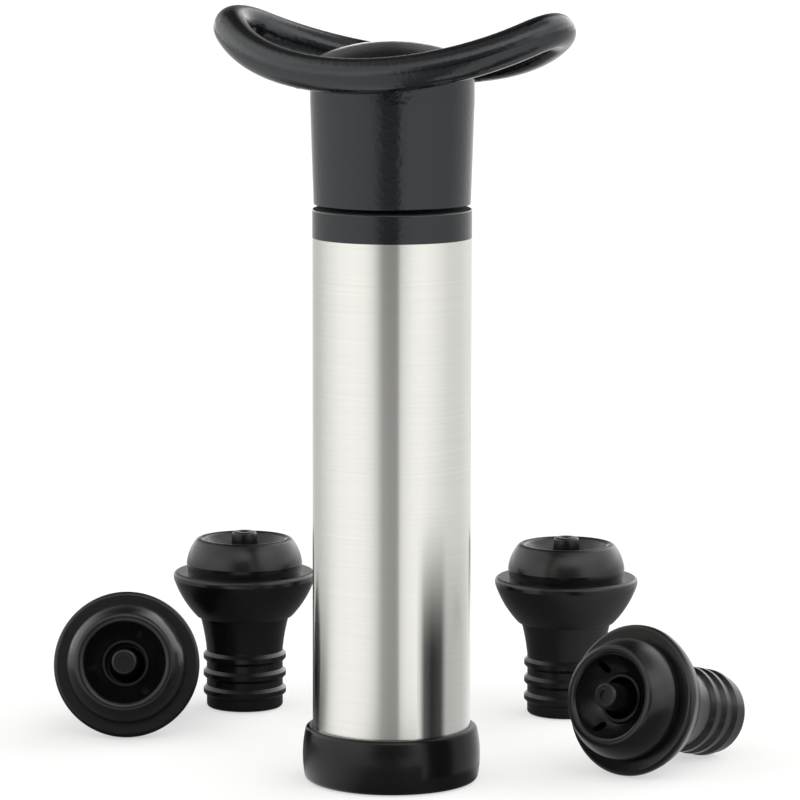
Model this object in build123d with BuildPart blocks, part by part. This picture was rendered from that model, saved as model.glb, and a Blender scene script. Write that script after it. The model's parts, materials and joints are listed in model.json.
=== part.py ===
from build123d import *
import os
from math import atan2, cos, degrees, radians, sin, sqrt

# Wine vacuum pump with four bottle stoppers, in millimetres
# +Z is up the pump's axis, and the origin is the centre of the mouth in the plane that the pump stands on
# The barrel stays still, the handle pulls the rod and the piston up through it

os.makedirs("parts", exist_ok=True)

# Clearances that mating pieces share
running_clearance = 0.06
fit_clearance = 0.05
seat_gap = 0.1

# Head of a stopper, measured from the flange's widest circle along the stopper's axis
# It enters the pump's mouth, so the barrel's sizes follow from it
dome_diameter = 27.3
dome_widest_height = 3.6
dome_undercut = 0.35
dome_shoulder_inset = 0.8
dome_shoulder_height = 6.6
lip_height = 9.5
lip_crest_inset = 3.3
lip_crest_width = 2.1
lip_crest_drop = 0.45
dish_slope_width = 2.9
dish_slope_height = 6.3
well_diameter = 9.4
well_rim_height = 4.7
well_bead_width = 0.6
well_bead_height = 0.5
well_floor_height = -3.0
web_thickness = 2.2
flange_ledge = 3.05
flange_edge_height = 1.6
flange_edge_round = 0.9
flange_belly_inset = 2.7
flange_belly_height = -5.6
vent_width = 1.6
vent_length = 2.5
vent_inset = 2.75
vent_floor_height = 1.0
vent_count = 3

# Neck of a stopper, which goes into a bottle with a bore of 18.5
plug_diameter = 18.0
plug_bore_diameter = 10.0
plug_end_length = 2.7
plug_end_round = 0.8
rib_depth = 0.75
rib_half_width = 1.3
rib_gap = 1.5
rib_lead = 0.2
rib_crest_share = 0.4
rib_count = 3
neck_shoulder_step = 1.5
neck_shoulder_ledge = 0.8
neck_shoulder_height = -9.0
neck_waist_step = 0.5
neck_waist_height = -13.4
neck_foot_height = -17.1

# Stopper valve, a post on a foot that closes the air way through the web
post_diameter = 5.7
post_top_height = 11.0
post_end_round = 0.6
post_waist_height = 3.5
post_waist_diameter = 7.0
post_recess_diameter = 2.4
post_recess_depth = 0.4
valve_foot_clearance = 0.6
valve_foot_thickness = 0.9
valve_stem_diameter = 3.2
valve_lift = 1.0
valve_bulb_step = 1.1
air_way_width = 0.55
valve_bulb_length = 2.6
valve_tip_diameter = 2.6

# Mouth, with its seal clamped between the base ring's lip and a step of the cylinder
mouth_clearance = 0.25
mouth_depth = 10.0
mouth_cavity_relief = 0.4
mouth_seal_height = 3.5
mouth_seal_relief = 0.3

# Cylinder, the moulded tube that the piston runs in
cylinder_wall = 1.7
cylinder_foot_wall = 2.4
cylinder_skirt_wall = 1.0
cylinder_lead_in = 0.5
end_wall_thickness = 2.0
inlet_diameter = 5.0

# Outer sleeve, a thin steel tube
sleeve_wall = 0.5
sleeve_length = 115.2

# Base ring round the foot of the barrel
base_height = 11.9
base_lip_thickness = 2.0
base_seat_thickness = 2.0
base_rim_wall = 1.35
base_swell = 0.8
base_widest_height = 5.9
base_foot_inset = 0.6
base_foot_round = 1.2
base_rim_round = 1.0

# Collar on the upper end of the barrel
collar_overhang = 0.05
collar_height = 6.25
collar_top_thickness = 2.5
collar_spigot_length = 7.9
collar_spigot_wall = 1.6
collar_round = 0.4
collar_vent_diameter = 2.4
collar_vent_count = 4

# Rod guide, a flanged bush pushed into the collar from below
guide_wall = 2.0
guide_flange_width = 2.0
guide_flange_thickness = 1.5
guide_boss_wall = 2.0
guide_lead_in = 0.4

# Piston rod
rod_diameter = 11.0
rod_spigot_diameter = 7.0
rod_end_round = 0.4
pilot_depth = 16.0

# Piston, with a groove for its floating ring
piston_clearance = 0.35
piston_lower_flange = 2.2
piston_upper_flange = 2.0
piston_hub_height = 5.0
piston_hub_wall = 3.5
piston_web_thickness = 3.6
piston_recess_clearance = 0.7
piston_notch_width = 3.2
piston_notch_depth = 1.2
piston_notch_count = 6
swivel_play = 0.1

# Piston ring
ring_height = 3.0
ring_thickness = 2.6
ring_float = 1.0
ring_round = 0.8
ring_back_clearance = 0.5

# Stop washer, loose on the rod above the piston
stop_washer_thickness = 2.0
stop_washer_clearance = 0.3

# Screws and the washer under the piston
piston_screw_diameter = 3.2
piston_screw_head_diameter = 6.2
piston_screw_head_height = 2.1
handle_screw_diameter = 4.0
handle_screw_head_diameter = 7.4
handle_screw_head_height = 2.6
screw_length = 14.0
screw_hole_clearance = 0.15
screw_head_clearance = 1.2
screw_head_round = 0.7
driver_slot_width = 1.0
driver_slot_depth = 1.2
driver_slot_share = 0.62
piston_washer_overhang = 2.3
piston_washer_thickness = 1.0

# Handle neck
handle_gap = 0.9
neck_foot_diameter = 34.0
neck_top_diameter = 35.5
neck_height = 29.15
neck_straight_height = 6.5
neck_wall = 2.2
neck_foot_round = 0.3
cup_depth = 7.2
cup_chamfer = 0.4
deck_thickness = 3.0
boss_wall = 2.5
boss_length = 15.0
boss_rib_thickness = 1.6
boss_rib_length = 12.0
boss_rib_count = 6

# Finger loop, a saddle of four tangent arcs in tilted planes
handle_turn_angle = -26.7
loop_strand_diameter = 7.6
loop_overlap = 0.25
loop_seat_depth = 0.4
loop_side_radius = 46.4
loop_side_angle = 50.0
loop_tilt_angle = 29.0
bridge_width = 24.0
bridge_thickness = 3.4

# Handle cap, the dome in the middle of the loop
cap_gap = 0.3
cap_side_height = 2.4
cap_dome_radius = 42.0
cap_edge_round = 1.6
cap_wall = 2.2
cap_spigot_length = 3.0
cap_spigot_wall = 1.5

# Where the stoppers stand or lie round the pump, and how they are turned
stopper_places = {
    "left_rear": (-34.9, 79.0),
    "right_rear": (40.8, 71.4),
    "left_front": (-60.8, 46.0),
    "right_front": (53.4, 5.6),
}
stopper_roll_angles = {"left_rear": 100, "right_rear": 85, "left_front": 66, "right_front": 125.5}
lying_heading_angles = {"left_front": 0, "right_front": -40}

# Radii and heights that follow from the sizes above
dome_radius = dome_diameter / 2
flange_radius = dome_radius + flange_ledge
lip_crest_radius = dome_radius - lip_crest_inset
well_radius = well_diameter / 2
plug_radius = plug_diameter / 2
rib_pitch = 2 * rib_half_width + rib_gap
rib_first_height = neck_foot_height - rib_lead - rib_half_width
rib_last_height = rib_first_height - (rib_count - 1) * rib_pitch
plug_length = plug_end_length + rib_half_width - rib_last_height
web_foot_height = well_floor_height - web_thickness
plug_bore_radius = plug_bore_diameter / 2
neck_shoulder_radius = plug_radius + neck_shoulder_step
neck_waist_radius = plug_radius + neck_waist_step
flange_foot_radius = neck_shoulder_radius + neck_shoulder_ledge
flange_belly_radius = flange_radius - flange_belly_inset
dome_foot_radius = dome_radius - dome_undercut
dome_shoulder_radius = dome_radius - dome_shoulder_inset
crest_half_width = lip_crest_width / 2
dish_slope_radius = lip_crest_radius - dish_slope_width
rib_heights = [rib_first_height - n * rib_pitch for n in range(rib_count)]
rib_points = []
for height in reversed(rib_heights):
    rib_points.append((plug_radius, height - rib_half_width))
    rib_points.append((plug_radius + rib_depth, height - rib_crest_share * rib_half_width))
    rib_points.append((plug_radius + rib_depth, height + rib_crest_share * rib_half_width))
    rib_points.append((plug_radius, height + rib_half_width))
post_radius = post_diameter / 2
valve_stem_radius = valve_stem_diameter / 2
valve_foot_radius = well_radius - valve_foot_clearance
valve_bulb_radius = valve_stem_radius + valve_bulb_step
stem_hole_radius = valve_stem_radius + air_way_width

mouth_radius = dome_radius + mouth_clearance
mouth_cavity_radius = mouth_radius + mouth_cavity_relief
cylinder_radius = mouth_cavity_radius + cylinder_foot_wall
bore_radius = cylinder_radius - cylinder_wall
seal_seat_radius = cylinder_radius - cylinder_skirt_wall
sleeve_bore_radius = cylinder_radius + fit_clearance
sleeve_radius = sleeve_bore_radius + sleeve_wall
sleeve_foot = base_lip_thickness + base_seat_thickness
sleeve_top = sleeve_foot + sleeve_length
seal_top = base_lip_thickness + mouth_seal_height
end_wall_top = mouth_depth + end_wall_thickness

base_socket_radius = sleeve_radius + fit_clearance
base_rim_radius = base_socket_radius + base_rim_wall
base_radius = base_rim_radius + base_swell
base_foot_radius = base_radius - base_foot_inset

rod_radius = rod_diameter / 2
spigot_radius = rod_spigot_diameter / 2
collar_radius = sleeve_radius + collar_overhang
collar_top = sleeve_top + collar_height
collar_spigot_radius = bore_radius - fit_clearance
collar_pocket_radius = collar_spigot_radius - collar_spigot_wall
collar_pocket_top = collar_top - collar_top_thickness
collar_spigot_foot = sleeve_top - collar_spigot_length
guide_radius = rod_radius + running_clearance + guide_wall
guide_bore_radius = guide_radius + fit_clearance
guide_flange_radius = guide_radius + guide_flange_width
guide_flange_top = collar_spigot_foot + guide_flange_thickness

piston_washer_radius = spigot_radius + piston_washer_overhang
piston_recess_radius = piston_washer_radius + piston_recess_clearance
piston_recess_depth = (
    swivel_play + piston_washer_thickness + piston_screw_head_height + screw_head_clearance
)
piston_foot = end_wall_top + seat_gap
groove_foot = piston_foot + piston_lower_flange
groove_top = groove_foot + seat_gap + ring_height + ring_float + seat_gap
piston_flange_top = groove_top + piston_upper_flange
hub_top = piston_flange_top + piston_hub_height
piston_radius = bore_radius - piston_clearance
ring_outer_radius = bore_radius - running_clearance
ring_inner_radius = ring_outer_radius - ring_thickness
groove_radius = ring_inner_radius - ring_back_clearance
hub_radius = rod_radius + running_clearance + piston_hub_wall
web_foot = piston_foot + piston_recess_depth
web_top = web_foot + piston_web_thickness
rod_shoulder = web_top + seat_gap
spigot_foot = web_foot - swivel_play

neck_foot = collar_top + handle_gap
neck_top = neck_foot + neck_height
neck_foot_radius = neck_foot_diameter / 2
neck_top_radius = neck_top_diameter / 2
deck_top = neck_top - cup_depth
deck_foot = deck_top - deck_thickness
cup_radius = neck_top_radius - neck_wall
boss_bore_radius = rod_radius + fit_clearance
boss_radius = boss_bore_radius + boss_wall
rod_top = deck_foot - seat_gap
strand_radius = loop_strand_diameter / 2
loop_half_depth = neck_top_radius + strand_radius - loop_overlap
loop_middle_height = neck_top - loop_seat_depth

# Base ring, with the mouth's lip turned in under the cylinder
with BuildPart() as base_ring:
    with BuildSketch(Plane.XZ):
        with BuildLine():
            ThreePointArc(
                (base_foot_radius, 0),
                (base_radius, base_widest_height),
                (base_rim_radius, base_height),
            )
            Polyline(
                (base_rim_radius, base_height),
                (base_socket_radius, base_height),
                (base_socket_radius, sleeve_foot),
                (cylinder_radius + fit_clearance, sleeve_foot),
                (cylinder_radius + fit_clearance, base_lip_thickness),
                (mouth_radius, base_lip_thickness),
                (mouth_radius, 0),
                (base_foot_radius, 0),
            )
        make_face()
    revolve(axis=Axis.Z)
    foot_edges = base_ring.edges().group_by(Axis.Z)[0]
    fillet(foot_edges.sort_by(SortBy.RADIUS)[-1], radius=base_foot_round)
    rim_edges = base_ring.edges().group_by(Axis.Z)[-1]
    fillet(rim_edges.sort_by(SortBy.RADIUS)[-1], radius=base_rim_round)
base_ring.part.label = "base_ring"
export_step(base_ring.part, "parts/base_ring.step")

# Mouth seal, with a rounded bead that meets the stopper
with BuildPart() as mouth_seal:
    with BuildSketch(Plane.XZ):
        with BuildLine():
            Polyline(
                (mouth_radius + mouth_seal_relief, base_lip_thickness),
                (seal_seat_radius - fit_clearance, base_lip_thickness),
                (seal_seat_radius - fit_clearance, seal_top),
                (mouth_radius + mouth_seal_relief, seal_top),
            )
            ThreePointArc(
                (mouth_radius + mouth_seal_relief, seal_top),
                (mouth_radius, (base_lip_thickness + seal_top) / 2),
                (mouth_radius + mouth_seal_relief, base_lip_thickness),
            )
        make_face()
    revolve(axis=Axis.Z)
mouth_seal.part.label = "mouth_seal"
export_step(mouth_seal.part, "parts/mouth_seal.step")

# Cylinder, closed below by the end wall with its inlet
with BuildPart() as cylinder:
    with BuildSketch(Plane.XZ):
        with BuildLine():
            Polyline(
                (seal_seat_radius, base_lip_thickness),
                (cylinder_radius, base_lip_thickness),
                (cylinder_radius, sleeve_top),
                (bore_radius + cylinder_lead_in, sleeve_top),
                (bore_radius, sleeve_top - cylinder_lead_in),
                (bore_radius, end_wall_top),
                (inlet_diameter / 2, end_wall_top),
                (inlet_diameter / 2, mouth_depth),
                (mouth_cavity_radius, mouth_depth),
                (mouth_cavity_radius, seal_top),
                (seal_seat_radius, seal_top),
                close=True,
            )
        make_face()
    revolve(axis=Axis.Z)
cylinder.part.label = "cylinder"
export_step(cylinder.part, "parts/cylinder.step")

# Outer sleeve
with BuildPart() as outer_sleeve:
    with BuildSketch(Plane.XY.offset(sleeve_foot)):
        Circle(sleeve_radius)
        Circle(sleeve_bore_radius, mode=Mode.SUBTRACT)
    extrude(amount=sleeve_length)
outer_sleeve.part.label = "outer_sleeve"
export_step(outer_sleeve.part, "parts/outer_sleeve.step")

# Collar, with a spigot in the cylinder and a boss for the rod guide
with BuildPart() as collar:
    with BuildSketch(Plane.XZ):
        with BuildLine():
            Polyline(
                (guide_bore_radius, collar_top),
                (collar_radius, collar_top),
                (collar_radius, sleeve_top),
                (collar_spigot_radius, sleeve_top),
                (collar_spigot_radius, collar_spigot_foot),
                (collar_pocket_radius, collar_spigot_foot),
                (collar_pocket_radius, collar_pocket_top),
                (guide_bore_radius + guide_boss_wall, collar_pocket_top),
                (guide_bore_radius + guide_boss_wall, guide_flange_top),
                (guide_bore_radius, guide_flange_top),
                close=True,
            )
        make_face()
    revolve(axis=Axis.Z)
    top_edges = collar.edges().group_by(Axis.Z)[-1]
    fillet(top_edges.sort_by(SortBy.RADIUS)[-1], radius=collar_round)
    with BuildSketch(Plane.XY.offset(collar_top)):
        with PolarLocations((collar_pocket_radius + guide_bore_radius + guide_boss_wall) / 2, collar_vent_count):
            Circle(collar_vent_diameter / 2)
    extrude(amount=-collar_top_thickness, mode=Mode.SUBTRACT)
collar.part.label = "collar"
export_step(collar.part, "parts/collar.step")

# Rod guide
with BuildPart() as rod_guide:
    with BuildSketch(Plane.XY.offset(collar_spigot_foot)):
        Circle(guide_flange_radius)
    extrude(amount=guide_flange_thickness)
    with BuildSketch(Plane.XY.offset(collar_spigot_foot)):
        Circle(guide_radius)
    extrude(amount=collar_top - collar_spigot_foot)
    with BuildSketch(Plane.XY.offset(collar_spigot_foot)):
        Circle(rod_radius + running_clearance)
    extrude(amount=collar_top - collar_spigot_foot, mode=Mode.SUBTRACT)
    guide_ends = rod_guide.edges().filter_by(GeomType.CIRCLE).sort_by(SortBy.RADIUS)[0:2]
    chamfer(guide_ends, length=guide_lead_in)
rod_guide.part.label = "rod_guide"
export_step(rod_guide.part, "parts/rod_guide.step")

# Piston, open to the rod's spigot, with vent notches above the ring groove
with BuildPart() as piston:
    with BuildSketch(Plane.XZ):
        with BuildLine():
            Polyline(
                (piston_recess_radius, piston_foot),
                (piston_radius, piston_foot),
                (piston_radius, groove_foot),
                (groove_radius, groove_foot),
                (groove_radius, groove_top),
                (piston_radius, groove_top),
                (piston_radius, piston_flange_top),
                (hub_radius, piston_flange_top),
                (hub_radius, hub_top),
                (rod_radius + running_clearance, hub_top),
                (rod_radius + running_clearance, web_top),
                (spigot_radius + running_clearance, web_top),
                (spigot_radius + running_clearance, web_foot),
                (piston_recess_radius, web_foot),
                close=True,
            )
        make_face()
    revolve(axis=Axis.Z)
    notch_foot = groove_foot + piston_upper_flange
    with BuildSketch(Plane.XY.offset(notch_foot)):
        with PolarLocations(piston_radius, piston_notch_count):
            Rectangle(2 * (piston_radius - groove_radius + piston_notch_depth), piston_notch_width)
    extrude(amount=piston_flange_top - notch_foot, mode=Mode.SUBTRACT)
piston.part.label = "piston"
export_step(piston.part, "parts/piston.step")

# Piston ring, resting on the lower side of its groove
with BuildPart() as piston_ring:
    with BuildSketch(Plane.XY.offset(groove_foot + seat_gap)):
        Circle(ring_outer_radius)
        Circle(ring_inner_radius, mode=Mode.SUBTRACT)
    extrude(amount=ring_height)
    ring_rims = piston_ring.edges().filter_by(GeomType.CIRCLE).sort_by(SortBy.RADIUS)[-2:]
    fillet(ring_rims, radius=ring_round)
piston_ring.part.label = "piston_ring"
export_step(piston_ring.part, "parts/piston_ring.step")

# Stop washer on top of the piston's hub
with BuildPart() as stop_washer:
    with BuildSketch(Plane.XY.offset(hub_top)):
        Circle(hub_radius)
        Circle(rod_radius + stop_washer_clearance, mode=Mode.SUBTRACT)
    extrude(amount=stop_washer_thickness)
stop_washer.part.label = "stop_washer"
export_step(stop_washer.part, "parts/stop_washer.step")

# Piston rod, with a spigot through the piston and a pilot hole in each end
with BuildPart() as piston_rod:
    with BuildSketch(Plane.XY.offset(rod_shoulder)):
        Circle(rod_radius)
    extrude(amount=rod_top - rod_shoulder)
    fillet(piston_rod.edges().group_by(Axis.Z)[-1], radius=rod_end_round)
    with BuildSketch(Plane.XY.offset(spigot_foot)):
        Circle(spigot_radius)
    extrude(amount=rod_shoulder - spigot_foot)
    with BuildSketch(Plane.XY.offset(spigot_foot)):
        Circle(piston_screw_diameter / 2 + fit_clearance)
    extrude(amount=pilot_depth, mode=Mode.SUBTRACT)
    with BuildSketch(Plane.XY.offset(rod_top)):
        Circle(handle_screw_diameter / 2 + fit_clearance)
    extrude(amount=-pilot_depth, mode=Mode.SUBTRACT)
piston_rod.part.label = "piston_rod"
export_step(piston_rod.part, "parts/piston_rod.step")

# Piston washer, clamped on the end of the spigot
with BuildPart() as piston_washer:
    with BuildSketch(Plane.XY.offset(spigot_foot)):
        Circle(piston_washer_radius)
        Circle(piston_screw_diameter / 2 + screw_hole_clearance, mode=Mode.SUBTRACT)
    extrude(amount=-piston_washer_thickness)
piston_washer.part.label = "piston_washer"
export_step(piston_washer.part, "parts/piston_washer.step")

# Piston screw, driven up into the rod
with BuildPart() as piston_screw:
    screw_seat = spigot_foot - piston_washer_thickness
    with BuildSketch(Plane.XY.offset(screw_seat)):
        Circle(piston_screw_head_diameter / 2)
    extrude(amount=-piston_screw_head_height)
    fillet(piston_screw.edges().group_by(Axis.Z)[0], radius=screw_head_round)
    with BuildSketch(Plane.XY.offset(screw_seat)):
        Circle(piston_screw_diameter / 2)
    extrude(amount=screw_length)
    with BuildSketch(Plane.XY.offset(screw_seat - piston_screw_head_height)):
        with PolarLocations(0, 2, angular_range=90, endpoint=True):
            Rectangle(piston_screw_head_diameter * driver_slot_share, driver_slot_width)
    extrude(amount=driver_slot_depth, mode=Mode.SUBTRACT)
piston_screw.part.label = "piston_screw"
export_step(piston_screw.part, "parts/piston_screw.step")

# Handle screw, driven down through the deck into the rod
with BuildPart() as handle_screw:
    with BuildSketch(Plane.XY.offset(deck_top)):
        Circle(handle_screw_head_diameter / 2)
    extrude(amount=handle_screw_head_height)
    fillet(handle_screw.edges().group_by(Axis.Z)[-1], radius=screw_head_round)
    with BuildSketch(Plane.XY.offset(deck_top)):
        Circle(handle_screw_diameter / 2)
    extrude(amount=-screw_length)
    with BuildSketch(Plane.XY.offset(deck_top + handle_screw_head_height)):
        with PolarLocations(0, 2, angular_range=90, endpoint=True):
            Rectangle(handle_screw_head_diameter * driver_slot_share, driver_slot_width)
    extrude(amount=-driver_slot_depth, mode=Mode.SUBTRACT)
handle_screw.part.label = "handle_screw"
export_step(handle_screw.part, "parts/handle_screw.step")


# The finger loop's arcs: each has a centre, a start and an end
def loop_point(x, y, z):
    return Vector(x, y, z).rotate(Axis.Z, handle_turn_angle)


side_angle = radians(loop_side_angle)
tilt_angle = radians(loop_tilt_angle)
side_bow = loop_side_radius * (1 - cos(side_angle))
corner_x = loop_side_radius * sin(side_angle)
corner_y = loop_half_depth - side_bow * cos(tilt_angle)
corner_z = loop_middle_height + side_bow * sin(tilt_angle)
side_centre_y = loop_side_radius * cos(tilt_angle) - loop_half_depth
side_centre_z = loop_middle_height + loop_side_radius * sin(tilt_angle)
end_reach_x = cos(side_angle)
end_reach_z = sin(side_angle) * sin(tilt_angle)
end_reach = sqrt(end_reach_x**2 + end_reach_z**2)
end_inset = corner_y * sin(side_angle) * cos(tilt_angle) / end_reach
end_centre_x = corner_x - end_inset * end_reach_x / end_reach
end_centre_z = corner_z - end_inset * end_reach_z / end_reach
front_left = loop_point(-corner_x, -corner_y, corner_z)
front_right = loop_point(corner_x, -corner_y, corner_z)
rear_right = loop_point(corner_x, corner_y, corner_z)
rear_left = loop_point(-corner_x, corner_y, corner_z)
loop_arcs = [
    (loop_point(0, side_centre_y, side_centre_z), front_left, front_right),
    (loop_point(end_centre_x, 0, end_centre_z), front_right, rear_right),
    (loop_point(0, -side_centre_y, side_centre_z), rear_right, rear_left),
    (loop_point(-end_centre_x, 0, end_centre_z), rear_left, front_left),
]

# Handle: neck, bridges to the loop, loop, cup for the cap, skirt, boss and ribs
with BuildPart() as handle:
    with BuildSketch(Plane.XZ):
        with BuildLine():
            Polyline(
                (0, neck_foot),
                (neck_foot_radius, neck_foot),
                (neck_top_radius, neck_top - neck_straight_height),
                (neck_top_radius, neck_top),
                (0, neck_top),
                close=True,
            )
        make_face()
    revolve(axis=Axis.Z)
    fillet(handle.edges().group_by(Axis.Z)[0], radius=neck_foot_round)
    with BuildSketch(Plane.XY.offset(neck_top)):
        Rectangle(bridge_width, 2 * loop_half_depth, rotation=handle_turn_angle)
    extrude(amount=-bridge_thickness)
    for centre, start, end in loop_arcs:
        arm = start - centre
        arc_axis = arm.cross(end - centre)
        with BuildSketch(Plane(origin=start, x_dir=arm, z_dir=arc_axis.cross(arm))):
            Circle(strand_radius)
        revolve(axis=Axis(centre, arc_axis), revolution_arc=arm.get_angle(end - centre))
    with BuildSketch(Plane.XY.offset(deck_top)):
        Circle(cup_radius)
    extrude(amount=cup_depth, mode=Mode.SUBTRACT)
    with BuildSketch(Plane.XZ):
        with BuildLine():
            Polyline(
                (0, neck_foot),
                (neck_foot_radius - neck_wall, neck_foot),
                (cup_radius, deck_foot),
                (0, deck_foot),
                close=True,
            )
        make_face()
    revolve(axis=Axis.Z, mode=Mode.SUBTRACT)
    with BuildSketch(Plane.XY.offset(deck_foot)):
        with PolarLocations((cup_radius + rod_radius) / 2, boss_rib_count):
            Rectangle(cup_radius - rod_radius, boss_rib_thickness)
    extrude(amount=-boss_rib_length)
    with BuildSketch(Plane.XY.offset(deck_foot)):
        Circle(boss_radius)
    extrude(amount=-boss_length)
    with BuildSketch(Plane.XY.offset(deck_foot)):
        Circle(boss_bore_radius)
    extrude(amount=-boss_length, mode=Mode.SUBTRACT)
    with BuildSketch(Plane.XY.offset(deck_top)):
        Circle(handle_screw_diameter / 2 + screw_hole_clearance)
    extrude(amount=-deck_thickness, mode=Mode.SUBTRACT)
handle.part.label = "handle"
export_step(handle.part, "parts/handle.step")

# Handle cap, a domed lid with a spigot in the neck's cup
with BuildPart() as handle_cap:
    cap_radius = loop_half_depth - strand_radius - cap_gap
    cap_shoulder = neck_top + cap_side_height
    dome_centre = cap_shoulder - sqrt(cap_dome_radius**2 - cap_radius**2)
    cap_apex = dome_centre + cap_dome_radius
    spigot_face = cup_radius - fit_clearance
    hollow_face = spigot_face - cap_spigot_wall
    hollow_radius = cap_dome_radius - cap_wall
    hollow_edge = dome_centre + sqrt(hollow_radius**2 - hollow_face**2)
    half_turn_share = 0.5
    dome_middle = half_turn_share * cap_radius
    hollow_middle = half_turn_share * hollow_face
    with BuildSketch(Plane.XZ):
        with BuildLine():
            Polyline(
                (hollow_face, hollow_edge),
                (hollow_face, neck_top - cap_spigot_length),
                (spigot_face, neck_top - cap_spigot_length),
                (spigot_face, neck_top),
                (cap_radius, neck_top),
                (cap_radius, cap_shoulder),
            )
            ThreePointArc(
                (cap_radius, cap_shoulder),
                (dome_middle, dome_centre + sqrt(cap_dome_radius**2 - dome_middle**2)),
                (0, cap_apex),
            )
            Line((0, cap_apex), (0, cap_apex - cap_wall))
            ThreePointArc(
                (0, cap_apex - cap_wall),
                (hollow_middle, dome_centre + sqrt(hollow_radius**2 - hollow_middle**2)),
                (hollow_face, hollow_edge),
            )
        make_face()
    revolve(axis=Axis.Z)
    side_edges = handle_cap.edges().filter_by(Plane.XY).sort_by(SortBy.RADIUS)[-2:]
    fillet(side_edges.sort_by(Axis.Z)[-1], radius=cap_edge_round)
handle_cap.part.label = "handle_cap"
export_step(handle_cap.part, "parts/handle_cap.step")

# Planes of the four stoppers: origin in the flange's widest circle, z_dir out of the dish
# A lying stopper rests on the edge of its flange and on the end of its neck
lie_angle = atan2(flange_radius - plug_radius, plug_length - plug_end_round)
stopper_planes = {}
for name, (x, y) in stopper_places.items():
    if name in lying_heading_angles:
        heading = radians(lying_heading_angles[name])
        side = sin(heading)
        front = -cos(heading)
        level = Vector(-front, side, 0)
        facing = Vector(side * cos(lie_angle), front * cos(lie_angle), sin(lie_angle))
        origin = Vector(x, y, flange_radius * cos(lie_angle))
    else:
        level = Vector(1, 0, 0)
        facing = Vector(0, 0, 1)
        origin = Vector(x, y, plug_length)
    roll_dir = level.rotate(Axis((0, 0, 0), facing), stopper_roll_angles[name])
    stopper_planes[name] = Plane(origin=origin, x_dir=roll_dir, z_dir=facing)

# Points of the stopper's profile that more than one line or arc meets
web_corner = (plug_bore_radius, web_foot_height)
neck_foot_point = (plug_radius, neck_foot_height)
neck_shoulder_point = (neck_shoulder_radius, neck_shoulder_height)
flange_foot_point = (flange_foot_radius, neck_shoulder_height)
flange_edge_point = (flange_radius, 0)
dome_edge_point = (dome_radius, dome_widest_height)
crest_outer_point = (lip_crest_radius + crest_half_width, lip_height - lip_crest_drop)
crest_inner_point = (lip_crest_radius - crest_half_width, lip_height - lip_crest_drop)
well_bead_point = (well_radius + well_bead_width, well_rim_height)

for name, place in stopper_planes.items():
    profile = Plane(origin=place.origin, x_dir=place.x_dir, z_dir=-place.y_dir)
    stopper_axis = Axis(place.origin, place.z_dir)

    # Stopper body: neck, ribs, flange, domed lip, dish, well and the web that the valve closes
    with BuildPart() as stopper:
        with BuildSketch(profile):
            with BuildLine():
                Polyline(web_corner, (plug_bore_radius, -plug_length), (plug_radius, -plug_length))
                Polyline((plug_radius, -plug_length), *rib_points, neck_foot_point)
                ThreePointArc(neck_foot_point, (neck_waist_radius, neck_waist_height), neck_shoulder_point)
                Line(neck_shoulder_point, flange_foot_point)
                ThreePointArc(flange_foot_point, (flange_belly_radius, flange_belly_height), flange_edge_point)
                Polyline(
                    flange_edge_point,
                    (flange_radius, flange_edge_height),
                    (dome_foot_radius, flange_edge_height),
                    dome_edge_point,
                )
                ThreePointArc(dome_edge_point, (dome_shoulder_radius, dome_shoulder_height), crest_outer_point)
                ThreePointArc(crest_outer_point, (lip_crest_radius, lip_height), crest_inner_point)
                ThreePointArc(crest_inner_point, (dish_slope_radius, dish_slope_height), well_bead_point)
                Polyline(
                    well_bead_point,
                    (well_radius + well_bead_width, well_rim_height + well_bead_height),
                    (well_radius, well_rim_height + well_bead_height),
                    (well_radius, well_floor_height),
                    (stem_hole_radius, well_floor_height),
                    (stem_hole_radius, web_foot_height),
                    web_corner,
                )
            make_face()
        revolve(axis=stopper_axis)
        rings = stopper.edges().filter_by(place)
        end_edge = rings.group_by(stopper_axis)[0].sort_by(SortBy.RADIUS)[-1]
        fillet(end_edge, radius=plug_end_round)
        flange_edges = stopper.edges().filter_by(place).sort_by(SortBy.RADIUS)[-2:]
        fillet(flange_edges.sort_by(stopper_axis)[-1], radius=flange_edge_round)
        with BuildSketch(place.offset(lip_height)):
            with PolarLocations(lip_crest_radius - vent_inset, vent_count):
                SlotOverall(vent_length, vent_width)
        extrude(amount=vent_floor_height - lip_height, mode=Mode.SUBTRACT)
    stopper.part.label = f"stopper_{name}"
    export_step(stopper.part, f"parts/stopper_{name}.step")

    # Stopper valve: post, foot, stem through the web and the bulb that keeps it there
    with BuildPart() as valve:
        foot_height = well_floor_height + seat_gap
        bulb_top = web_foot_height - valve_lift - seat_gap
        with BuildSketch(profile):
            with BuildLine():
                Polyline(
                    (0, post_top_height),
                    (post_radius, post_top_height),
                    (post_waist_diameter / 2, post_waist_height),
                    (valve_foot_radius, foot_height + valve_foot_thickness),
                    (valve_foot_radius, foot_height),
                    (valve_stem_radius, foot_height),
                    (valve_stem_radius, bulb_top),
                    (valve_bulb_radius, bulb_top),
                    (valve_tip_diameter / 2, bulb_top - valve_bulb_length),
                    (0, bulb_top - valve_bulb_length),
                    close=True,
                )
            make_face()
        revolve(axis=stopper_axis)
        with BuildSketch(place.offset(post_top_height)):
            Circle(post_recess_diameter / 2)
        extrude(amount=-post_recess_depth, mode=Mode.SUBTRACT)
        post_edges = valve.edges().filter_by(place).group_by(stopper_axis)[-1]
        fillet(post_edges.sort_by(SortBy.RADIUS)[-1], radius=post_end_round)
    valve.part.label = f"valve_{name}"
    export_step(valve.part, f"parts/valve_{name}.step")

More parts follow.
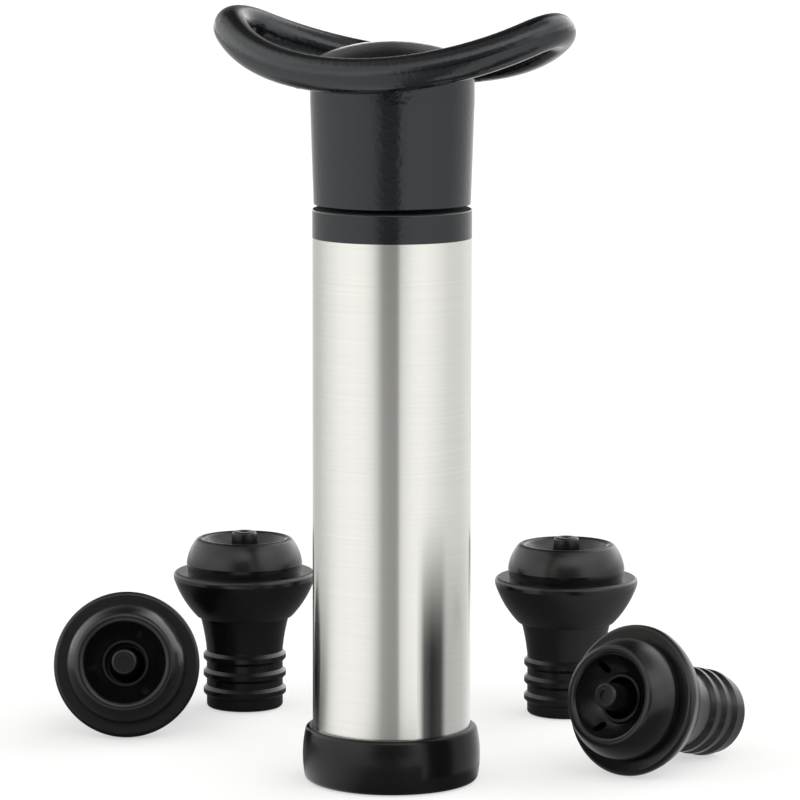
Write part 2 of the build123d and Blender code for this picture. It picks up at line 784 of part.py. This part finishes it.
# Distances that the moving pieces can travel
pull_travel = collar_spigot_foot - hub_top - stop_washer_thickness - seat_gap
print("pull travel", pull_travel)
print("ring float", ring_float, "valve lift", valve_lift)
print("lie angle", degrees(lie_angle))
for name, place in stopper_planes.items():
    print(name, "axis", tuple(place.z_dir), "origin", tuple(place.origin))
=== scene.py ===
import json
from math import pi, radians

import bmesh
import bpy
from mathutils import Matrix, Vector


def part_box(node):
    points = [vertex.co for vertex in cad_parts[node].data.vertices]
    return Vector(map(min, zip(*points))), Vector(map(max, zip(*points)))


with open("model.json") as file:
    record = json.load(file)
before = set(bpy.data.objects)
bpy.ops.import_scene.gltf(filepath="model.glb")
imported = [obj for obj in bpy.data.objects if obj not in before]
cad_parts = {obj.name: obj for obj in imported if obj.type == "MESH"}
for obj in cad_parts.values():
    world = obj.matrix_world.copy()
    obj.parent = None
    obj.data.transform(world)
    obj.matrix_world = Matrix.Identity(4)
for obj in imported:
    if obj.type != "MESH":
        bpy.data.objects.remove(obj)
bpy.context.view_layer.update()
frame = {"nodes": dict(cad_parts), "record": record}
scene = bpy.context.scene
scene.view_settings.view_transform = "Standard"


# Wiring of shader nodes

class Wire:
    """The output of a shader node. A sum with it adds a Math node."""

    def __init__(self, finish, socket):
        self.finish = finish
        self.socket = socket

    def __add__(self, other):
        return self.finish.math("ADD", self, other)

    def __radd__(self, other):
        return self.finish.math("ADD", other, self)

    def __rsub__(self, other):
        return self.finish.math("SUBTRACT", other, self)

    def __mul__(self, other):
        return self.finish.math("MULTIPLY", self, other)

    def __rmul__(self, other):
        return self.finish.math("MULTIPLY", other, self)

    def __truediv__(self, other):
        return self.finish.math("DIVIDE", self, other)

    def __gt__(self, other):
        return self.finish.math("GREATER_THAN", self, other)


class Finish:
    """The node tree of a material or of the world. Every node in it comes from add()."""

    def __init__(self, owner):
        owner.use_nodes = True
        self.tree = owner.node_tree
        self.tree.nodes.clear()

    def add(self, kind, settings=None, inputs=None, output=0):
        """A node: its settings, where stops are those of a ramp of greys, and its sockets."""
        node = self.tree.nodes.new(kind)
        for key, value in (settings or {}).items():
            if key == "stops":
                ramp = node.color_ramp
                while len(ramp.elements) < len(value):
                    ramp.elements.new(0.5)
                for element, (position, grey) in zip(ramp.elements, value):
                    element.position = position
                    element.color = (grey, grey, grey, 1)
            else:
                setattr(node, key, value)
        for key, value in (inputs or {}).items():
            if isinstance(value, Wire):
                self.tree.links.new(value.socket, node.inputs[key])
            else:
                node.inputs[key].default_value = value
        return Wire(self, node.outputs[output]) if node.outputs else None

    def math(self, operation, first, second):
        return self.add("ShaderNodeMath", {"operation": operation}, {0: first, 1: second})

    def axis(self, letter, vector):
        """The X, Y or Z of a vector."""
        return self.add("ShaderNodeSeparateXYZ", {}, {0: vector}, output=letter)

    def place(self):
        """The point on the piece, in metres."""
        return self.add("ShaderNodeTexCoord", output="Object")

    def noise(self, cycles, detail):
        """Noise from 0 to 1, with so many cycles to the metre along X, Y and Z."""
        point = self.add("ShaderNodeMapping", {}, {"Vector": self.place(), "Scale": cycles})
        return self.add("ShaderNodeTexNoise", {}, {
            "Vector": point, "Scale": 1.0, "Detail": detail})

    def blend(self, share, first, second):
        """A colour that runs from first to second."""
        return self.add("ShaderNodeMix", {"data_type": "RGBA"}, {
            "Factor": share, 6: (*first, 1), 7: (*second, 1)}, output=2)

    def bump(self, height, depth, under=None):
        """Relief: its height from 0 to 1, its full depth in metres, and the relief under it."""
        inputs = {"Height": height, "Distance": depth}
        if under is not None:
            inputs["Normal"] = under
        return self.add("ShaderNodeBump", {}, inputs)

    def rise(self, value, low, high, first, last):
        """Runs smoothly from first to last where value goes from low to high."""
        return self.add("ShaderNodeMapRange", {"interpolation_type": "SMOOTHSTEP"}, {
            "Value": value, "From Min": low, "From Max": high, "To Min": first, "To Max": last})


def between(share, first, last):
    """Runs straight from first to last where share goes from 0 to 1."""
    return first + (last - first) * share


def material(name, shader):
    """A material. shader(finish) wires its shader."""
    made = bpy.data.materials.new(name)
    finish = Finish(made)
    finish.add("ShaderNodeOutputMaterial", {}, {"Surface": shader(finish)})
    return made


# Finishes of the pump and the stoppers

MICRON = 0.000001

# Patterns: cycles to the metre along X, Y and Z, and the detail in them
CLOUDING = (140, 140, 140), 3
ORANGE_PEEL = (850, 850, 850), 2
GRAIN = (3600, 3600, 3600), 2
FINE_BRUSHING = (35, 35, 14000), 3
COARSE_BRUSHING = (12, 12, 2200), 2
WEAR = (500, 500, 500), 3

HANDLE_BLACK = (0.0025, 0.0027, 0.0031)
HANDLE_SHINE = (0.9, 0.95, 1)
BASE_BLACK = (0.002, 0.002, 0.002)
RUBBER_BLACK = (0.0026, 0.0026, 0.0026)
SEAL_BLACK = (0.012, 0.012, 0.012)
ROD_BLACK = (0.012, 0.012, 0.0125)
INNER_GREY = (0.05, 0.05, 0.052)
STEEL_DULL = (0.585, 0.582, 0.548)
STEEL_BRIGHT = (0.73, 0.727, 0.692)
PLATING_DULL = (0.6, 0.6, 0.58)
PLATING_BRIGHT = (0.74, 0.74, 0.73)

# The paler clouds in a moulding's colour, and how far its roughness strays down and up
CLOUD_GAIN = 1.35
CLOUD_HAZE = 0.001
GLOSSIER = 0.02
DULLER = 0.03

# The top of the collar, down to 0.1 mm below its edge, has hardly any gloss
COLLAR_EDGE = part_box("collar")[1][2] - 100 * MICRON
MATT = 0.85

FINE_SHARE = 0.72
BRUSHING_DEPTH = 4 * MICRON
STEEL_ROUGHNESS = (0.12, 0.21)
PLATING_ROUGHNESS = (0.18, 0.3)


def moulding(colour, roughness, grain, peel, ior=1.5, tint=(1, 1, 1), matt_above=None):
    """Injection-moulded plastic or rubber: fine grain on a slight orange peel, both given by
    their depth, with a little uneven gloss."""
    def shader(finish):
        cloud = finish.noise(*CLOUDING)
        peeled = finish.bump(finish.noise(*ORANGE_PEEL), peel)
        dullness = between(cloud, roughness - GLOSSIER, roughness + DULLER)
        if matt_above is not None:
            dullness = dullness + (finish.axis("Z", finish.place()) > matt_above) * MATT
        paler = [CLOUD_GAIN * part + CLOUD_HAZE for part in colour]
        return finish.add("ShaderNodeBsdfPrincipled", {}, {
            "Base Color": finish.blend(cloud, colour, paler),
            "Roughness": dullness,
            "Normal": finish.bump(finish.noise(*GRAIN), grain, under=peeled),
            "IOR": ior,
            "Specular Tint": (*tint, 1),
        })
    return shader


def brushed_steel(finish):
    """Steel brushed round the tube: level lines of uneven brightness, mostly fine ones."""
    fine = finish.noise(*FINE_BRUSHING)
    coarse = finish.noise(*COARSE_BRUSHING)
    lines = fine * FINE_SHARE + coarse * (1 - FINE_SHARE)
    return finish.add("ShaderNodeBsdfPrincipled", {}, {
        "Base Color": finish.blend(lines, STEEL_DULL, STEEL_BRIGHT),
        "Metallic": 1.0,
        "Roughness": between(lines, *STEEL_ROUGHNESS),
        "Anisotropic": 0.95,
        "Anisotropic Rotation": 0.25,
        "Normal": finish.bump(lines, BRUSHING_DEPTH),
    })


def plated_steel(finish):
    worn = finish.noise(*WEAR)
    return finish.add("ShaderNodeBsdfPrincipled", {}, {
        "Base Color": finish.blend(worn, PLATING_DULL, PLATING_BRIGHT),
        "Metallic": 1.0,
        "Roughness": between(worn, *PLATING_ROUGHNESS),
    })


shaders = {
    "black_moulding": moulding(
        HANDLE_BLACK, roughness=0.1, grain=4 * MICRON, peel=62 * MICRON, tint=HANDLE_SHINE),
    "collar_moulding": moulding(
        HANDLE_BLACK, roughness=0.12, grain=4 * MICRON, peel=50 * MICRON, tint=HANDLE_SHINE,
        matt_above=COLLAR_EDGE),
    "base_moulding": moulding(
        BASE_BLACK, roughness=0.21, grain=5 * MICRON, peel=20 * MICRON, ior=1.35),
    "steel_sleeve": brushed_steel,
    "inner_moulding": moulding(
        INNER_GREY, roughness=0.4, grain=8 * MICRON, peel=10 * MICRON),
    "rod_moulding": moulding(
        ROD_BLACK, roughness=0.22, grain=4 * MICRON, peel=10 * MICRON),
    "soft_seal": moulding(
        SEAL_BLACK, roughness=0.55, grain=14 * MICRON, peel=10 * MICRON),
    "stopper_rubber": moulding(
        RUBBER_BLACK, roughness=0.24, grain=6 * MICRON, peel=16 * MICRON, ior=1.42),
    "fastener_steel": plated_steel,
}
finishes = {name: material(name, shader) for name, shader in shaders.items()}
own_finish = {"base_ring": "base_moulding", "collar": "collar_moulding"}
slots = {part["node"]: part["material_slot"] for part in frame["record"]["subparts"]}
for name, node in frame["nodes"].items():
    node.data.materials.clear()
    node.data.materials.append(finishes[own_finish.get(name, slots[name])])


# Studio: a white table in a white tent, which is open in front and dim at the very top. It has
# lamps on both sides, and higher up in front too. To the camera the tent is plain white.
# Each list gives the brightness all round, as azimuths in degrees and levels. Azimuth 0 is on
# the camera's side and 90 on the right. Other sizes are in metres

TENT = [
    (-180, 1.8), (-150, 1.7), (-125, 1.2), (-106, 1.15), (-80, 1.4), (-58, 1.48), (-42, 1.4),
    (-32, 1.0), (-24, 0.45), (-14, 0.16), (0, 0.1), (14, 0.14), (22, 0.35), (31, 1.0),
    (45, 1.28), (60, 1.22), (75, 1.0), (90, 0.9), (113, 0.95), (140, 1.6), (180, 1.8),
]
LAMPS = [
    (-180, 0.17), (-162, 0.35), (-140, 1.4), (-110, 1.8), (-80, 1.7), (-45, 1.9), (-32, 1.6),
    (-18, 0.4), (0, 0.3), (18, 0.4), (32, 1.6), (45, 1.9), (80, 1.6), (110, 2), (135, 2.5),
    (158, 2.5), (168, 0.6), (180, 0.17),
]
HIGH_LAMPS = [
    (-180, 0.06), (-155, 0.15), (-125, 1.3), (-90, 1.6), (-60, 1.4), (-30, 1.5), (-8, 1.9),
    (10, 2.4), (60, 2.4), (90, 2), (125, 2.4), (150, 2.2), (164, 0.5), (172, 0.08),
    (180, 0.06),
]

# Painted reflections: the glow that gloss sees of the table, by azimuth, from the foot of the
# pump outwards. Its bright patches are painted light and its dark patches painted shade
TABLE_CLOSE = [
    (-180, 0.06), (-116, 0.06), (-98, 0.8), (-72, 1.3), (-50, 1.2), (-34, 0.75), (-22, 0.2),
    (0, 0.12), (20, 0.2), (40, 0.05), (80, 0.1), (105, 0.7), (124, 0.5), (146, 0.1),
    (180, 0.06),
]
TABLE_NEAR = [
    (-180, 0.06), (-124, 0.05), (-117, 0.08), (-112, 0.13), (-107, 0.24), (-102, 0.5),
    (-96, 0.88), (-88, 1.14), (-80, 1.28), (-58, 1.33), (-39, 1.25), (-30, 1.14), (-22, 0.93),
    (-12, 0.38), (-2, 0.27), (8, 0.28), (12.5, 1.05), (20, 1.3), (40, 1.3), (48, 0.9),
    (54, 0.15), (59, 0.05), (74, 0.05), (82, 0.3), (90, 0.92), (113, 0.88), (124, 0.6),
    (146, 0.1), (180, 0.06),
]
TABLE_FAR = [
    (-180, 0.75), (-145, 0.6), (-128, 0.7), (-106, 1.02), (-94, 1.15), (-80, 1.29),
    (-58, 1.33), (-39, 1.25), (-30, 1.15), (-22, 0.96), (-12, 0.42), (-2, 0.34), (8, 0.35),
    (12.5, 1.1), (20, 1.33), (40, 1.34), (53, 1.3), (74, 1.12), (90, 0.92), (113, 0.88),
    (140, 0.97), (180, 0.8),
]

# Painted shade: a dark sector painted into the glow that gloss sees in front of the table: where
# it lies, how far off it begins and is full, and how much it takes away
PAINTED_SHADE_SECTOR = [(-26, 0), (-13, 1), (4, 1), (11, 0)]
PAINTED_SHADE_BEGINS = 0.5
PAINTED_SHADE_FULL = 1.3
PAINTED_SHADE_SHARE = 0.45

# Each list takes over from the one before it between two heights, which are the Z of a
# direction 1 long, or two distances from the pump's axis
ABOVE_THE_TENT = ((0.07, 0.2, LAMPS), (0.4, 0.62, HIGH_LAMPS))
ROUND_THE_FOOT = ((0.055, 0.082, TABLE_NEAR), (0.13, 0.27, TABLE_FAR))

# The top of the tent: where it begins and is full, and its level
TOP_BEGINS = 0.76
TOP_FULL = 0.94
TOP_LEVEL = 0.32

BRIGHTEST = 2.5
LAMPLIGHT = (1, 0.995, 0.985, 1)
PLAIN_WHITE = (1, 1, 1, 1)
TABLE_WHITE = (0.95, 0.95, 0.95, 1)
TABLE_GLOW = (1, 0.998, 0.995, 1)

# How much of the table is glow, to the camera and to gloss. To gloss the glow is a painted
# reflection. The rest is paint, which takes the shadows
GLOW_SEEN = 0.55
GLOW_MIRRORED = 0.85

# The table lies just below the lowest point of the stoppers
TABLE_HALF = 6
TABLE_CENTRE = (0, 2, -0.0002)


def around(finish, point, levels):
    """The brightness towards a point, from a list of azimuths and levels."""
    turn = finish.math("ARCTAN2", finish.axis("X", point), -1.0 * finish.axis("Y", point))
    stops = [(0.5 + azimuth / 360, level / BRIGHTEST) for azimuth, level in levels]
    share = finish.add("ShaderNodeValToRGB", {"stops": stops}, {"Fac": turn / (2 * pi) + 0.5})
    return share * BRIGHTEST


def layered(finish, point, distance, levels, layers):
    """The brightness towards a point, where layers take over from levels one by one."""
    brightness = around(finish, point, levels)
    for low, high, upper_levels in layers:
        upper = finish.rise(distance, low, high, 0.0, 1.0)
        brightness = brightness * (1.0 - upper) + around(finish, point, upper_levels) * upper
    return brightness


def studio_piece(name, shape, shader):
    """A piece of the studio, from its bmesh. shader(finish) wires its shader."""
    mesh = bpy.data.meshes.new(name)
    shape.to_mesh(mesh)
    shape.free()
    mesh.materials.append(material(name, shader))
    piece = bpy.data.objects.new(name, mesh)
    scene.collection.objects.link(piece)
    return piece


scene.world = bpy.data.worlds.new("studio")
room = Finish(scene.world)
direction = room.add("ShaderNodeTexCoord", output="Generated")
height = room.axis("Z", direction)
tent = layered(room, direction, height, TENT, ABOVE_THE_TENT)
tent = tent * room.rise(height, TOP_BEGINS, TOP_FULL, 1.0, TOP_LEVEL)
room.add("ShaderNodeOutputWorld", {}, {"Surface": room.add("ShaderNodeMixShader", {}, {
    0: room.add("ShaderNodeLightPath", output="Is Camera Ray"),
    1: room.add("ShaderNodeBackground", {}, {"Color": LAMPLIGHT, "Strength": tent}),
    2: room.add("ShaderNodeBackground", {}, {"Color": PLAIN_WHITE, "Strength": 1.0})})})


def table_paint_and_painted_reflection(finish):
    """White paint, and over it a glow: plain white for the camera, and for gloss a painted
    reflection, bright and dark by direction.
    """
    here = finish.place()
    away = finish.add("ShaderNodeVectorMath", {"operation": "LENGTH"}, {0: here}, output="Value")
    # Painted reflection: the glow that gloss sees, bright and dark by azimuth
    painted_reflection = layered(finish, here, away, TABLE_CLOSE, ROUND_THE_FOOT)
    # Painted shade: a dark sector in front, taken out of the painted reflection
    painted_shade = finish.rise(away, PAINTED_SHADE_BEGINS, PAINTED_SHADE_FULL, 0.0, PAINTED_SHADE_SHARE)
    painted_reflection = painted_reflection * (1.0 - around(finish, here, PAINTED_SHADE_SECTOR) * painted_shade)
    camera_ray = finish.add("ShaderNodeLightPath", output="Is Camera Ray")
    glossy_ray = finish.add("ShaderNodeLightPath", output="Is Glossy Ray")
    return finish.add("ShaderNodeMixShader", {}, {
        0: camera_ray * GLOW_SEEN + glossy_ray * GLOW_MIRRORED,
        1: finish.add("ShaderNodeBsdfDiffuse", {}, {"Color": TABLE_WHITE}),
        2: finish.add("ShaderNodeEmission", {}, {
            "Color": TABLE_GLOW, "Strength": camera_ray + glossy_ray * painted_reflection})})


table = bmesh.new()
bmesh.ops.create_grid(table, x_segments=1, y_segments=1, size=TABLE_HALF)
bmesh.ops.translate(table, verts=table.verts, vec=TABLE_CENTRE)
studio_piece("table_top", table, table_paint_and_painted_reflection)


# Painted reflection: a glowing sheet bent round the right of the sleeve. Only gloss sees it, and
# only on its inner side. It is dark in front and pale behind, which paints a dark stripe and a
# pale band into the sleeve's reflection, and it fades out towards its top

PAINTED_REFLECTION_LEVELS = [
    (-180, 1), (28, 1), (33, 0.14), (42, 0.02), (54, 0.07), (61, 0.62), (90, 0.72), (110, 0.95),
]
PAINTED_SHEET_RADIUS = 0.027
PAINTED_SHEET_FOOT = 0.0005
PAINTED_SHEET_FADES = 0.027
PAINTED_SHEET_TOP = 0.062
PAINTED_SHEET_BEGINS = 26
PAINTED_SHEET_SWEEP = 114
PAINTED_SHEET_STEPS = 38


# Painted reflection: a glow by azimuth on the sheet's inner side, which gloss sees in the sleeve
def painted_reflection_card(finish):
    behind = finish.add("ShaderNodeNewGeometry", output="Backfacing")
    level = finish.axis("Z", finish.place())
    fade = finish.rise(level, PAINTED_SHEET_FADES, PAINTED_SHEET_TOP, 1.0, 0.0)
    glow = around(finish, finish.place(), PAINTED_REFLECTION_LEVELS)
    return finish.add("ShaderNodeMixShader", {}, {
        0: fade * (1.0 - behind),
        1: finish.add("ShaderNodeBsdfTransparent"),
        2: finish.add("ShaderNodeEmission", {}, {"Strength": glow})})


sheet = bmesh.new()
foot = sheet.verts.new((PAINTED_SHEET_RADIUS, 0, PAINTED_SHEET_FOOT))
top = sheet.verts.new((PAINTED_SHEET_RADIUS, 0, PAINTED_SHEET_TOP))
bmesh.ops.rotate(sheet, verts=[foot, top], cent=(0, 0, 0),
                 matrix=Matrix.Rotation(radians(PAINTED_SHEET_BEGINS - 90), 3, "Z"))
bmesh.ops.spin(sheet, geom=[foot, top, sheet.edges.new((foot, top))], cent=(0, 0, 0),
               axis=(0, 0, 1), angle=radians(PAINTED_SHEET_SWEEP), steps=PAINTED_SHEET_STEPS)
for face in sheet.faces:
    face.normal_update()
    if face.normal.dot(face.calc_center_median()) > 0:
        face.normal_flip()
painted_reflection_sheet = studio_piece("painted_reflection_sheet", sheet, painted_reflection_card)
painted_reflection_sheet.visible_camera = False
painted_reflection_sheet.visible_diffuse = False
painted_reflection_sheet.visible_shadow = False


# Camera: a long lens, a little above the handle and tilted down. Its sensor and focal length
# are in millimetres, and its angles in degrees

SENSOR_WIDTH = 36
FOCAL_LENGTH = 202.1
REACH = 50
CAMERA_PLACE = (0.00176, -0.967, 0.2132)
TILT_DOWN = 7.63
ROLL = 0.1

lens = bpy.data.cameras.new("camera")
lens.sensor_width = SENSOR_WIDTH
lens.lens = FOCAL_LENGTH
lens.clip_end = REACH
camera = bpy.data.objects.new("camera", lens)
camera.matrix_world = (
    Matrix.Translation(CAMERA_PLACE)
    @ Matrix.Rotation(radians(90 - TILT_DOWN), 4, "X")
    @ Matrix.Rotation(radians(ROLL), 4, "Z")
)
scene.collection.objects.link(camera)
scene.camera = camera
